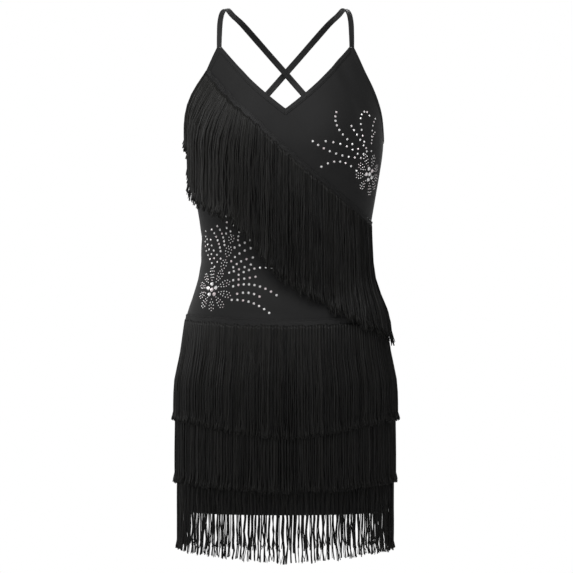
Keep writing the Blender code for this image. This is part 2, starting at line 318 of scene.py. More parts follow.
def clothToneGroup():
    # slow and fine unevenness of a dyed cloth: a mask for its colour and roughness, and a height
    inputs = {"Vector": None, "Slow": 9.0, "Fine": 420.0}
    group, given, put = newGroup("clothTone", inputs, ("Mask", "Height"))
    slow = addNode(group, "TexNoise", values={"Detail": 3.0, "Roughness": 0.55})
    fine = addNode(group, "TexNoise", values={"Detail": 2.0, "Roughness": 0.6})
    mix = addNode(group, "Mix", {"data_type": "FLOAT"}, {"Factor": 0.35})
    join(
        group,
        (given, "Vector", slow, "Vector"),
        (given, "Vector", fine, "Vector"),
        (given, "Slow", slow, "Scale"),
        (given, "Fine", fine, "Scale"),
        (slow, "Fac", mix, "A"),
        (fine, "Fac", mix, "B"),
        (mix, "Result", put, "Mask"),
        (fine, "Fac", put, "Height"),
    )
    return group


def ribGroup():
    # two crossed sets of ribs, as wales and courses in a knit or warp and weft in a band
    inputs = {"Vector": None, "Along": 300.0, "Across": 300.0, "Bend": 1.0}
    group, given, put = newGroup("crossedRibs", inputs, ("Height",))
    crossed = addMath(group, "MULTIPLY")
    for socket, (direction, scale) in enumerate((("X", "Along"), ("Y", "Across"))):
        bands = {"wave_type": "BANDS", "bands_direction": direction, "wave_profile": "SIN"}
        wave = addNode(group, "TexWave", bands, {"Detail": 1.0, "Detail Scale": 1.5})
        join(
            group,
            (given, "Vector", wave, "Vector"),
            (given, scale, wave, "Scale"),
            (given, "Bend", wave, "Distortion"),
            (wave, "Fac", crossed, socket),
        )
    join(group, (crossed, 0, put, "Height"))
    return group


streakScale = (90.0, 57.0)  # of the threads' streaks, along one and from one to the next


def twistGroup():
    # the slanting turns of a twisted thread, from how far along it and how far round it a place is
    inputs = {"Length": 0.0, "Tone": 0.5, "Pitch": 0.0016}
    group, given, put = newGroup("threadTwist", inputs, ("Height", "Mask"))
    turns = addMath(group, "DIVIDE")
    offset = addMath(group, "ADD")
    wave = addMath(group, "PINGPONG", 0.5)
    streak = addNode(group, "TexNoise", {"noise_dimensions": "2D"}, {"Scale": 1.0, "Detail": 2.0})
    place = addNode(group, "CombineXYZ")
    slow = addMath(group, "MULTIPLY", streakScale[0])
    spread = addMath(group, "MULTIPLY", streakScale[1])
    join(
        group,
        (given, "Length", turns, 0),
        (given, "Pitch", turns, 1),
        (turns, 0, offset, 0),
        (given, "Tone", offset, 1),
        (offset, 0, wave, 0),
        (given, "Length", slow, 0),
        (given, "Tone", spread, 0),
        (slow, 0, place, "X"),
        (spread, 0, place, "Y"),
        (place, 0, streak, "Vector"),
        (wave, 0, put, "Height"),
        (streak, "Fac", put, "Mask"),
    )
    return group


effects = {"tone": clothToneGroup(), "ribs": ribGroup(), "twist": twistGroup()}


def newMaterial(name, constants):
    # a material with its Principled shader, whose plain values are set on its own sockets
    made = bpy.data.materials.new(name)
    made.use_nodes = True
    shader = made.node_tree.nodes["Principled BSDF"]
    for label, value in constants.items():
        shader.inputs[label].default_value = value
    return made, made.node_tree, shader


def placeEffect(tree, effect, values=None):
    return addNode(tree, "Group", {"node_tree": effects[effect]}, values)


maskSpan = (0.3, 0.7)  # where a noise's values mostly lie


def blendColours(tree, mask, look, target, low=maskSpan[0], high=maskSpan[1]):
    # feeds a socket with a colour between the look's first and second, as the mask goes from low to high
    ramp = addNode(tree, "ValToRGB")
    for element, position, colour in zip(ramp.color_ramp.elements, (low, high), look["colours"]):
        element.position = position
        element.color = (*colour, 1)
    tree.links.new(mask, ramp.inputs["Fac"])
    tree.links.new(ramp.outputs["Color"], target)


def blendRoughness(tree, mask, look, shader):
    spread = addNode(tree, "MapRange", values={"From Min": maskSpan[0], "From Max": maskSpan[1]})
    spread.inputs["To Min"].default_value, spread.inputs["To Max"].default_value = look["roughness"]
    tree.links.new(mask, spread.inputs["Value"])
    tree.links.new(spread.outputs["Result"], shader.inputs["Roughness"])


def addBump(tree, target, *effects):
    # effects are (node, (distance, strength)), each laid over the one before
    for effect, (distance, strength) in reversed(effects):
        bump = addNode(tree, "Bump", values={"Distance": distance, "Strength": strength})
        join(tree, (effect, "Height", bump, "Height"), (bump, "Normal", target, "Normal"))
        target = bump


plainSockets = ("Roughness", "Sheen Weight", "Sheen Roughness", "Specular IOR Level")


def clothMaterial(name, look):
    # a knitted or woven cloth that reads the piece's own map
    made, tree, shader = newMaterial(name, dict(zip(plainSockets, look["plain"])))
    uvMap = addNode(tree, "UVMap", {"uv_map": "surface"})
    objectPlace = addNode(tree, "TexCoord")
    tone = placeEffect(tree, "tone", look["tone"])
    ribs = placeEffect(tree, "ribs", look["ribs"])
    mixed = {"data_type": "RGBA", "blend_type": "MULTIPLY"}
    # ribShade darkens the colour where the ribs are low: painted shade in the hollows between them
    ribShade = addNode(tree, "Mix", mixed, {"Factor": look["ribShade"]})
    blendColours(tree, tone.outputs["Mask"], look, ribShade.inputs["A"])
    blendRoughness(tree, tone.outputs["Mask"], look, shader)
    join(
        tree,
        (objectPlace, "Object", tone, "Vector"),
        (uvMap, "UV", ribs, "Vector"),
        (ribs, "Height", ribShade, "B"),
        (ribShade, "Result", shader, "Base Color"),
    )
    addBump(tree, shader, (ribs, look["ribBump"]), (tone, look["fineBump"]))
    return made


# "plain" goes to the plainSockets. Colours and roughness are the least and the most, bumps are
# depth and strength, and ribs and tone are as many to the metre as their numbers say.
looks = {
    "jersey": {
        "plain": (0.7, 0.12, 0.45, 0.3),
        "colours": ((0.0084, 0.0084, 0.0086), (0.0113, 0.0113, 0.0115)),
        "roughness": (0.66, 0.8),
        "tone": {"Slow": 9.0, "Fine": 900.0},
        "ribs": {"Along": 350.0, "Across": 420.0, "Bend": 0.6},  # wales 0.9 mm apart
        "ribShade": 0.2,
        "ribBump": (0.00012, 0.35),
        "fineBump": (0.0001, 0.4),
    },
    "elastic": {
        "plain": (0.7, 0.08, 0.4, 0.4),
        "colours": ((0.014, 0.014, 0.0143), (0.023, 0.023, 0.0233)),
        "roughness": (0.48, 0.62),
        "tone": {"Slow": 40.0, "Fine": 900.0},
        "ribs": {"Along": 300.0, "Across": 260.0, "Bend": 0.3},
        "ribShade": 0.35,
        "ribBump": (0.00018, 0.5),
        "fineBump": (0.0001, 0.4),
    },
    "binding": {
        "plain": (0.7, 0.05, 0.4, 0.3),
        "colours": ((0.009, 0.009, 0.0093), (0.0135, 0.0135, 0.0138)),
        "roughness": (0.6, 0.74),
        "tone": {"Slow": 40.0, "Fine": 900.0},
        "ribs": {"Along": 330.0, "Across": 300.0, "Bend": 0.5},
        "ribShade": 0.2,
        "ribBump": (0.00012, 0.35),
        "fineBump": (0.0001, 0.4),
    },
    "tape": {
        "plain": (0.7, 0.05, 0.4, 0.35),
        "colours": ((0.005, 0.005, 0.0052), (0.0115, 0.0115, 0.0118)),
        "roughness": (0.45, 0.6),
        "tone": {"Slow": 60.0, "Fine": 800.0},
        "ribs": {"Along": 190.0, "Across": 330.0, "Bend": 0.8},  # its loops 1.65 mm apart
        "ribShade": 0.45,
        "ribBump": (0.00035, 0.7),
        "fineBump": (0.00012, 0.4),
    },
    "thread": {
        "plain": (0.42, 0.02, 0.35, 0.32),
        "colours": ((0.0002, 0.0002, 0.0002), (0.0092, 0.0089, 0.0079)),
        "roughness": (0.4, 0.56),
        "streaks": 0.45,
        "twistBump": (0.00022, 0.55),
    },
    "stone": {
        "constants": {
            "Roughness": 0.1,
            "Metallic": 0.15,
            "Coat Weight": 1.0,
            "Coat Roughness": 0.03,
            "Coat IOR": 2.0,
        },
        "colours": ((0.97, 0.96, 0.96), (0.9, 0.78, 0.8)),  # near white, a painted reflection of the light the foil throws back; the second has the stones' own slight rosy tint
        "roughness": (0.08, 0.2),
    },
}


def threadMaterial(name, look):
    made, tree, shader = newMaterial(name, dict(zip(plainSockets, look["plain"])))
    length = addNode(tree, "Attribute", {"attribute_name": "threadLength"})
    tone = addNode(tree, "Attribute", {"attribute_name": "threadTone"})
    twist = placeEffect(tree, "twist")
    streaked = addNode(tree, "Mix", {"data_type": "FLOAT"}, {"Factor": look["streaks"]})
    join(
        tree,
        (length, "Fac", twist, "Length"),
        (tone, "Fac", twist, "Tone"),
        (tone, "Fac", streaked, "A"),
        (twist, "Mask", streaked, "B"),
    )
    blendColours(tree, streaked.outputs["Result"], look, shader.inputs["Base Color"], 0.26, 0.74)
    blendRoughness(tree, twist.outputs["Mask"], look, shader)
    addBump(tree, shader, (twist, look["twistBump"]))
    return made


def stoneMaterial(name, look):
    # foil-backed cut stones; their near-white colour is a painted reflection of the light the foil throws
    # back
    made, tree, shader = newMaterial(name, look["constants"])
    tone = addNode(tree, "Attribute", {"attribute_name": "stoneTone"})
    blendColours(tree, tone.outputs["Fac"], look, shader.inputs["Base Color"], 0.45, 0.95)
    blendRoughness(tree, tone.outputs["Fac"], look, shader)
    return made


jersey = clothMaterial("jerseyBlack", looks["jersey"])
elastic = clothMaterial("elasticBlack", looks["elastic"])
bindingCloth = clothMaterial("bindingBlack", looks["binding"])
tapeCloth = clothMaterial("fringeHeading", looks["tape"])
thread = threadMaterial("rayonThread", looks["thread"])
stoneFinish = stoneMaterial("cutStone", looks["stone"])
print("finishes made")


cloth = {
    "wall": 0.0011,
    "seamGap": 0.00001,
    "seamRadius": 0.15,  # how far the side seams are from the axis
    "columns": 52,  # from the front centre to a side
    "crowding": 0.45,  # draws the columns towards the edges
    "rows": (116, 12, 25),  # below the underarm, from there to the V of the neck, beside the neck
    "step": 0.0001,  # the underarm's level edge lies between two rows this far apart
    "backColumns": 110,
    "backRows": 124,
    "frontCut": (0.475, 0.692),  # the rectangle that the front is cut from, and its area
    "frontArea": 0.272,
    "backCut": (0.478, 0.556),
    "backArea": 0.262,
}
quarterTurn = math.pi / 2
backSeam = quarterTurn + cloth["seamGap"] / 2 / cloth["seamRadius"]

# The front's outer edge above the underarm, in mm: height, half width.
armhole = (
    (-63, 101), (-75, 106.9), (-99, 117.8), (-122, 129.2),
    (-146, 138.8), (-166, 144), (-196, 147),
)


def sideAngle(z):
    # the angle of the front's outer edge on the +X side
    halfWidth = along(sections, z)[0]
    cut = np.minimum(along(np.array(armhole) / mm, z)[0], halfWidth)
    edge = np.where(z > figure["underarm"], angleAt(cut, z), quarterTurn)
    return np.minimum(edge, quarterTurn - cloth["seamGap"] / 2 / halfWidth)


def backAngle(share):
    return backSeam + 2 * (math.pi - backSeam) * share


def backTop(angle):
    return figure["underarm"] + (figure["backEdge"] - figure["underarm"]) * np.cos(angle) ** 2


def makeFrontCloth():
    below, between, beside = cloth["rows"]
    heights = np.concatenate([
        np.linspace(figure["hem"], figure["underarm"], below),
        np.linspace(figure["underarm"] + cloth["step"], neckLine["point"], between, endpoint=False),
        np.linspace(neckLine["point"], neckLine["top"], beside),
    ])

    def place(across, up):
        z = heights[np.round(up * (heights.size - 1)).astype(int)]
        eased = across - cloth["crowding"] * np.sin(2 * math.pi * across) / (2 * math.pi)
        inner = angleAt(neckHalfWidth(z), z)
        return spot(inner + (sideAngle(z) - inner) * eased, z, creased=False)

    bm = mappedGrid(cloth["columns"], heights.size - 1, place)
    bmesh.ops.mirror(bm, geom=bm.verts[:] + bm.edges[:] + bm.faces[:], axis="X", merge_dist=weld["halves"])
    bmesh.ops.recalc_face_normals(bm, faces=bm.faces)
    if sum(face.normal.dot(face.calc_center_median() * Vector((1, 1, 0))) for face in bm.faces) < 0:
        bmesh.ops.reverse_faces(bm, faces=bm.faces)
    # now that the halves are one, every point gets the creases and the seams' pull
    x, y, z = np.array([vert.co for vert in bm.verts], float).T
    for vert, co in zip(bm.verts, spot(np.arctan2(x, -y), z)):
        vert.co = co
    wrapMap(bm)
    piece = addPiece("frontCloth", meshFrom("frontCloth", bm), jersey, cloth["wall"])
    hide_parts("front_panel")
    return piece


def makeBackCloth():
    def place(across, up):
        angle = backAngle(across)
        return spot(angle, figure["hem"] + (backTop(angle) - figure["hem"]) * up)

    bm = mappedGrid(cloth["backColumns"], cloth["backRows"], place)
    wrapMap(bm)
    piece = addPiece("backCloth", meshFrom("backCloth", bm), jersey, cloth["wall"])
    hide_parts("back_panel")
    return piece


frontCloth = makeFrontCloth()
backCloth = makeBackCloth()
print("cloth made")


# A folded band's outline in mm, from the seam on the outside over the edge to the inside:
# how far in from the edge, and how far out from the cloth.
neckFold = (
    (9.2, 0.6), (8.6, 0.9), (8, 0.9), (7.5, 0.6), (7, 0.9), (5.5, 1.2),
    (3.2, 1.2), (2, 0.8), (1, 1.3), (-0.4, 0.9), (-1, -0.4), (-0.6, -1.7),
    (0.8, -2.5), (3.5, -2.6), (7, -2.5), (8.6, -2.1),
)
# The same for an edge that is turned in and stitched down.
turnedHem = (
    (7, 0.2), (6.6, 0.5), (6.2, 0.3), (5.8, 0.6), (4, 0.8), (1.8, 0.9),
    (0.2, 0.6), (-0.6, -0.2), (-0.6, -1.2), (0.2, -1.9), (2, -2.2), (5, -2.2),
    (6.6, -1.9),
)
edging = {
    "wall": 0.0005,
    "mitre": (0.0007, 0.0011),  # depth and half width of the crease where the binding meets at the V
    "seamInset": 0.001,  # how far in angle a hem stops short of the side seams
    "armholeLevel": 10,  # points along the armhole's level end
    "armholePoints": 61,
}


def neckPoint(share, inward, out):
    widest = neckHalfWidth(neckLine["top"])
    x = widest * (2 * share - 1)
    z = neckLine["point"] + neckLine["slope"] * np.abs(x) + neckLine["curve"] * x * x - inward
    depth, halfWidth = edging["mitre"]
    return spot(angleAt(x, z), z, out - depth * bell(x, halfWidth) * np.sign(out))


def armholeEdge():
    # an armhole's edge on the +X side, down from the strap and level to the side seam: at even
    # shares of its length the angle, the height, and which way the cloth lies, along and up
    low, count = figure["underarm"] + cloth["step"], edging["armholeLevel"]
    heights = np.concatenate([np.linspace(neckLine["top"], low, steps["armhole"]), np.full(count, low)])
    angles = sideAngle(heights)
    angles[-count:] = np.linspace(angles[-count - 1], sideAngle(figure["hem"]), count + 1)[1:]
    lengths = travelled(spot(angles, heights, creased=False))
    shares = np.linspace(0, 1, edging["armholePoints"])
    angle, z = (np.interp(shares, lengths / lengths[-1], values) for values in (angles, heights))
    fall = np.stack([np.gradient(angle) * reach(angle, z), np.gradient(z)])
    fall /= np.linalg.norm(fall, axis=0)
    return shares, angle, z, fall[1], -fall[0]


def armPoint(hand):
    shares, *rows = armholeEdge()

    def point(share, inward, out):
        fall = share if hand > 0 else 1 - share  # down on one side and up on the other, to face out
        edge, z, sideways, up = (np.interp(fall, shares, row) for row in rows)
        return spot(hand * (edge + sideways * inward / reach(edge, z)), z + up * inward, out)

    return point


def backPoint(share, inward, out):
    angle = backAngle(share)
    return spot(angle, backTop(angle) - inward, out)


def hemPoint(start, end):
    start, end = start - edging["seamInset"], end + edging["seamInset"]

    def point(share, inward, out):
        return spot(start + (end - start) * share, figure["hem"] + inward, out)

    return point


# each edge's points, how many columns its band has, and its length
edges = {
    "neckBinding": (neckPoint, 190, 0.3),
    "armholeHemLeft": (armPoint(1), 70, 0.155),
    "armholeHemRight": (armPoint(-1), 70, 0.155),
    "backTopHem": (backPoint, 120, 0.4),
    "frontHem": (hemPoint(quarterTurn, -quarterTurn), 120, 0.45),
    "backHem": (hemPoint(3 * quarterTurn, quarterTurn), 120, 0.47),
}


def makeEdging(name, section, material):
    edgePoint, columns, length = edges[name]
    section = np.array(section) / mm
    inward, out = section.T
    shares = np.linspace(0, 1, len(section))

    def place(across, up):
        return edgePoint(across, np.interp(up, shares, inward), np.interp(up, shares, out))

    bm = mappedGrid(columns, len(section) - 1, place)
    bandMap(bm, columns, len(section) - 1, length, travelled(section)[-1])
    return addPiece(name, meshFrom(name, bm), material, edging["wall"])


neckBinding = makeEdging("neckBinding", neckFold, bindingCloth)
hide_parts("neck_binding")
hems = [makeEdging(name, turnedHem, jersey) for name in list(edges)[1:]]
print("edges bound")


straps = {
    "width": (0.0087, 0.0096),  # in front and behind
    "widens": (0.0, 0.03),  # the depth over which it goes from one to the other
    "thickness": 0.0019,
    "squareness": 0.55,  # 1 would make the band's section an ellipse
    "crown": 0.2,  # how much thicker the band is in the middle and at its edges than between them
    "rows": 14,
    "columns": 170,
    "parting": (0.0042, 0.03),  # how far the outer strap stands off at the crossing, and along what width
    "clothGap": 0.0005,
    "settles": (0.14, 0.176),  # how far down the back it comes to lie on the cloth
    "shoulderDrop": 0.06,  # over this height a strap turns from lying flat to standing upright
    "turning": 1.4,  # more keeps it upright for longer
    "flattest": 0.88,  # 1 would lie quite flat on the shoulder
    "rolled": 0.55,  # how much thicker it is there, where it rolls in
    "splay": ((-0.06, -0.03), (0.45, 0.2)),  # how far it faces sideways, at two heights
    # the middle line of the wearer's left strap in mm, from the front to the back
    "line": (
        (98, -66, -62.7), (97.8, -59, -44), (97, -45, -23), (94, -25, -7.5),
        (88, 0, -0.5), (79, 26, -8), (66, 48, -18.5), (45, 71, -40.5),
        (23.7, 87, -63.8), (0, 97, -90), (-19, 102, -111.5), (-59, 99, -157),
        (-90, 87, -195), (-101, 79, -211),
    ),
}


def strapMiddle(shares, hand):
    line = straps["line"]
    rows = [(i, *place) for i, place in enumerate(line)]
    x, y, z = along(rows, np.asarray(shares) * (len(line) - 1)) / mm
    onCloth = spot(np.arctan2(x, -y), z, straps["clothGap"] + straps["thickness"] / 2)
    lies = smooth(-z, *straps["settles"]) * ((y > 0) & (onCloth[:, 1] > y))
    x, y = x + (onCloth[:, 0] - x) * lies, y + (onCloth[:, 1] - y) * lies
    if hand > 0:
        distance, halfWidth = straps["parting"]
        y = y + distance * bell(x, halfWidth)
    return np.stack([hand * x, y, z], axis=-1)


def makeStrap(name, node, hand):
    columns, rows = straps["columns"], straps["rows"]
    middle = strapMiddle(np.linspace(0, 1, columns + 1), hand)
    ahead = unit(np.gradient(middle, axis=0))
    upright = np.clip(1 + middle[:, 2] / straps["shoulderDrop"], 0, 1)[:, None]
    lift = straps["flattest"] * upright ** straps["turning"]
    splay = np.interp(middle[:, 2], *straps["splay"])
    away = unit(np.stack([middle[:, 0] * splay, middle[:, 1], np.zeros(len(middle))], axis=-1))
    across = unit(np.cross(ahead, away * (1 - lift) + np.array((0, 0, 1)) * lift))
    thick = np.cross(across, ahead) * straps["thickness"] / 2 * (1 + straps["rolled"] * lift)
    across *= np.interp(middle[:, 1], straps["widens"], straps["width"])[:, None] / 2

    def place(share, round):
        # a flat band with rolled edges and a slightly raised middle
        k = np.rint(share * columns).astype(int)
        turn = 2 * math.pi * round
        corner = np.stack([np.cos(turn), np.sin(turn)])
        sideways, rise = np.sign(corner) * np.abs(corner) ** straps["squareness"]
        rise = rise * (1 - straps["crown"] * (1 - np.cos(sideways * 2 * math.pi)))
        return middle[k] + across[k] * sideways[:, None] + thick[k] * rise[:, None]

    bm = mappedGrid(columns, rows, place)
    bandMap(bm, columns, rows, travelled(middle)[-1], 2 * straps["width"][0])
    closeBand(bm)
    piece = addPiece(name, meshFrom(name, bm), elastic)
    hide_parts(node)
    return piece


strapRight = makeStrap("strapRight", "strap_right", -1)
strapLeft = makeStrap("strapLeft", "strap_left", 1)
print("straps made")


tape = {
    "thickness": 0.0009,
    "ridge": 0.0004,  # how proud the two edge cords stand
    "cordAt": 0.085,  # how far in they lie, and their half width, as shares of the tape's height
    "cordWidth": 0.065,
    "faceShare": 0.82,  # how much of the rows its face takes; its back has the rest
    "edgeSharpness": 14,
    "rows": 24,
    "ripple": 0.0005,
    "diagonalRipple": 1.4,  # against the rounds' own
    "endTaper": (0.03, 0.15),  # over this share of its length an open tape thins to this at its ends
    "round": {"columns": 400, "length": 2 * math.pi * 0.144, "height": 0.013, "gap": 0.0003},
    "diagonal": {"columns": 210, "length": 0.36, "height": 0.0095, "gap": 0.0009},
}

# What the trims share, unless their own entries say otherwise.
trim = {
    "threads": 1320,
    "radius": 0.00082,
    "grows": 0.25,  # the share of their fall over which the threads come away from the cloth
    "clump": (2, 6),
    "bulge": 0.0019,  # how far the middle of a clump stands out from its sides
    "pull": (0.1, 0.75),  # how much of its width a clump loses
    "gathers": (0.05, 0.75),  # the stretch of their fall where its threads draw together
    "clumpSway": (0.0002, 0.0008),
    "threadSway": (0.0001, 0.0004),
    "swayLength": (0.04, 0.1),
    "swingShare": 1.0,  # the share of their fall over which they swing round the body
    "curl": (0.0008, 0.0034),
    "uneven": (0.0022, 0.0016),  # how far the ends of clumps and of threads miss their level
    "raggedBack": 0.0,  # how much further at the back
    "paintedSideLight": ((0.0,), (0.0,)),  # how much lighter the threads are painted at these angles: painted light on the side the lamps fall on
    "knot": -0.15,  # how much thicker they get at their ends
}

# The rounds: lower edge of the tape and tips at the side and at the front and back centre, and
# how far the threads stand off the figure, also from where they lie over the tape below.
rounds = {
    "Hip": {
        **trim,
        "edge": (-0.47, -0.477),
        "tips": (-0.613, -0.638),
        "over": -0.54,
        "clear": 0.0022,
        "clearOver": 0.008,
        "grows": 0.5,
        "seed": 11,
    },
    "Middle": {
        **trim,
        "edge": (-0.56, -0.56),
        "tips": (-0.706, -0.718),
        "over": -0.64,
        "clear": 0.005,
        "clearOver": 0.0056,
        "seed": 12,
    },
    "Hem": {
        **trim,
        "edge": (-0.66, -0.66),
        "tips": (-0.806, -0.82),
        "over": -0.68,
        "clear": 0.0042,
        "clearOver": 0.0042,
        "threads": 1060,
        "radius": 0.0006,
        "clump": (2, 9),
        "pull": (0.62, 0.94),
        "gathers": (0.3, 0.62),
        "clumpSway": (0.0004, 0.0018),
        "threadSway": (0.0002, 0.0007),
        "swayLength": (0.035, 0.09),
        "curl": (0.0004, 0.0026),
        "raggedBack": 1.6,
        "knot": 0.15,
        "seed": 13,
    },
}

diagonal = {
    **trim,
    # the middle line of its tape in mm: sideways, height
    "line": (
        (-116, -98), (-89, -131), (-41, -177),
        (19, -233), (84, -287), (129, -326),
    ),
    "angles": (-1.045, 1.555),
    # angle, the threads' fall (mm) and swing, their clearance and that over the hip round (mm)
    "falls": (
        (-1.045, 150, -0.2, 5, 9),
        (-0.97, 172, -0.24, 5.5, 8.5),
        (-0.9, 172, -0.25, 5.8, 8),
        (-0.65, 170, -0.15, 4.5, 6),
        (-0.5, 168, -0.07, 3.5, 6),
        (-0.35, 178, -0.02, 2.8, 6),
        (-0.2, 191, 0.00, 2.6, 6),
        (0.000, 193, 0.00, 2.4, 6),
        (0.6, 179, 0.00, 2.2, 6),
        (1.2, 168, 0.00, 1.8, 5.5),
        (1.555, 174, 0.00, 1.2, 5),
    ),
    "tangentSteps": (-0.01, 0.0, 0.01),  # in angle, to find which way the tape runs
    "passes": 12,  # in which its height settles at an angle
    "leastSwing": 0.002,  # with less the threads hang straight
    "over": -0.438,
    "threads": 840,
    "grows": 0.45,
    "clump": (2, 7),
    "bulge": 0.003,
    "pull": (0.2, 0.75),
    "clumpSway": (0.0003, 0.0013),
    "threadSway": (0.0001, 0.0005),
    "swingShare": 0.45,
    "curl": (0.001, 0.004),
    "uneven": (0.0056, 0.0016),
    # painted light: the diagonal's threads are painted lighter towards its -X end, where the lamps fall most
    "paintedSideLight": ((-0.9, -0.3), (0.6, 0.0)),
    "seed": 14,
}

# The few threads that start above the diagonal tape, from the first to the last of them.
armholeFringe = {
    **diagonal,
    "heights": (-0.103, -0.097),  # the stretch of the armhole's edge that they hang from
    "rootAt": (0.0015, 0.0014),  # how far in from the edge, and out from the cloth
    "tips": (-0.228, -0.206),
    "swing": (-0.2, -0.24),
    "clear": (0.004, 0.0094),
    "threads": 44,
    "grows": 0.75,
    "bulge": 0.0008,
    "pull": (0.0, 0.25),
    "clumpSway": (0.0001, 0.0004),
    "swingShare": 0.6,
    "seed": 15,
}

threads = {
    "sides": 3,
    "turnEach": 2.4,  # how far round each thread's corners start from the last one's
    "stations": (0.0, 0.03, 0.09, 0.19, 0.32, 0.46, 0.6, 0.73, 0.85, 0.93, 0.97, 1.0),
    "rootShares": (0.06, 0.4),  # of the tape's height
    "rootRuns": 0.7,  # how far threads side by side start at one height
    "rootSeed": 100,  # added to the trim's own
    "plumb": 0.6,  # how far they keep from fanning out where the figure flares
    "overSpan": 0.04,  # the height over which they come to lie over what is below
    "swayFrom": 0.25,  # the share of their fall from which they sway in full
    "tipShare": 0.93,  # where the paired tips start to close and curl
    "paired": 0.7,  # how many of them close
    "hook": (0.85, 1.4, 0.6),  # where the ends start to hook, how far round, and how much
    "knotShare": 0.95,
    "loose": 0.0008,  # how far single threads stand off their clump
    "clumpFullness": (0.2, 1.0),
    "leastClump": 0.0003,  # the least half width that a clump counts as
    "thickness": (0.75, 1.15),  # of single threads against the trim's radius
    "clumpTone": 0.65,  # how much of a thread's tone it has from its clump
    "tipHighlight": 0.5,  # how much lighter their ends are painted: a painted highlight where the curled ends catch the light
}


def level(pair, angle):
    atSide, atMiddle = pair
    return atSide + (atMiddle - atSide) * np.cos(angle) ** 2


def rippleAt(angle):
    return tape["ripple"] * (np.sin(angle * 23) * np.sin(angle * 9 + 1) + 0.6 * np.sin(angle * 61 + 2))


def tapeProfile(turn, gap, fullness):
    # share of the tape's height and distance out, up its face and down its back
    faceShare = tape["faceShare"]
    onFace = turn < faceShare
    share = np.where(onFace, turn / faceShare, (1 - turn) / (1 - faceShare))
    cords = sum(bell(share - at, tape["cordWidth"]) for at in (tape["cordAt"], 1 - tape["cordAt"]))
    rounded = 1 - np.abs(2 * share - 1) ** tape["edgeSharpness"]
    face = (tape["thickness"] + tape["ridge"] * cords) * rounded
    return share, gap + np.where(onFace, face, 0.0) * fullness


def roundPoint(plan):
    def point(along, share, out):
        angle = evenAngles(along, plan["edge"][0])
        height = share * tape["round"]["height"]
        return spot(angle, level(plan["edge"], angle) + height + rippleAt(angle), out)

    return point


def diagonalMiddle(angle):
    line = np.array(diagonal["line"]) / mm
    z = np.full(np.shape(angle), line[2, 1])
    for _ in range(diagonal["passes"]):
        z = along(line, spot(angle, z, creased=False)[..., 0])[0]
    return z


def diagonalAngles(shares):
    # angles at shares of the tape's length
    fine = np.linspace(*diagonal["angles"], steps["diagonal"])
    lengths = travelled(spot(fine, diagonalMiddle(fine), creased=False))
    return np.interp(np.asarray(shares) * lengths[-1], lengths, fine)


def diagonalPoint(share, height, out):
    # height is the share of the tape's own height, from its lower edge
    angle = diagonalAngles(share)
    before, middle, after = (
        spot(angle + turn, diagonalMiddle(angle + turn), creased=False) for turn in diagonal["tangentSteps"]
    )
    outward = np.stack([np.sin(angle), -np.cos(angle), np.zeros_like(angle)], axis=-1)
    across = unit(np.cross(outward, after - before))
    rise = (height - 0.5) * tape["diagonal"]["height"] + tape["diagonalRipple"] * rippleAt(angle)
    place = middle + across * (np.sign(across[:, 2]) * rise)[:, None]
    turned = np.minimum(np.arctan2(place[:, 0], -place[:, 1]), quarterTurn)
    return spot(turned, place[:, 2], out)


def makeTape(name, tapePoint, band, closed):
    taper, thinnest = tape["endTaper"]

    def place(share, turn):
        fullness = 1.0 if closed else np.clip(np.minimum(share, 1 - share) / taper, thinnest, 1)
        heightShare, out = tapeProfile(turn, band["gap"], fullness)
        return tapePoint(share, heightShare, out)

    bm = mappedGrid(band["columns"], tape["rows"], place)
    bandMap(bm, band["columns"], tape["rows"], band["length"], 2 * band["height"])
    closeBand(bm, not closed)
    return addPiece(name, meshFrom(name, bm), tapeCloth)


def makeThreads(name, paths, radii, tones):
    # closed threads along many paths at once, joined in one mesh: paths is threads by points by
    # x, y, z, and radii and tones are threads by points
    count, points = paths.shape[:2]
    sides = threads["sides"]
    ahead = unit(np.gradient(paths, axis=1))
    across = unit(np.cross(ahead, unit(paths * (1, 1, 0))))
    outward = np.cross(across, ahead)
    turns = 2 * math.pi * np.arange(sides) / sides
    twist = (np.arange(count) * threads["turnEach"])[:, None, None]
    turned = (turns[None, None, :] + twist)[..., None]
    ring = np.cos(turned) * outward[:, :, None] + np.sin(turned) * across[:, :, None]
    corners = paths[:, :, None] + ring * radii[:, :, None, None]
    index = np.arange(count * points * sides).reshape(count, points, sides)
    after = np.roll(index, -1, axis=2)
    walls = np.stack([index[:, :-1], after[:, :-1], after[:, 1:], index[:, 1:]], axis=-1).reshape(-1, 4)
    caps = np.concatenate([index[:, 0, ::-1], index[:, -1]])
    mesh = bpy.data.meshes.new(name)
    mesh.from_pydata(corners.reshape(-1, 3), [], walls.tolist() + caps.tolist())
    mesh.polygons.foreach_set("use_smooth", np.arange(len(mesh.polygons)) < len(walls))
    lengths = np.stack([travelled(path) for path in paths])
    for label, values in (("threadLength", lengths), ("threadTone", tones)):
        attribute = mesh.attributes.new(label, "FLOAT", "POINT")
        attribute.data.foreach_set("value", np.repeat(values.ravel(), sides).astype(np.float32))
    return addPiece(name, mesh, thread, smooth=False)


def furthestAbove(turned, z):
    # how far out the figure reaches at or above each point of a thread, at that point's angle
    out = reach(turned, z)
    for k in range(out.shape[1] - 1):
        out[:, k + 1:] = np.maximum(out, reach(turned, z[:, k:k + 1]))[:, k + 1:]
    return out


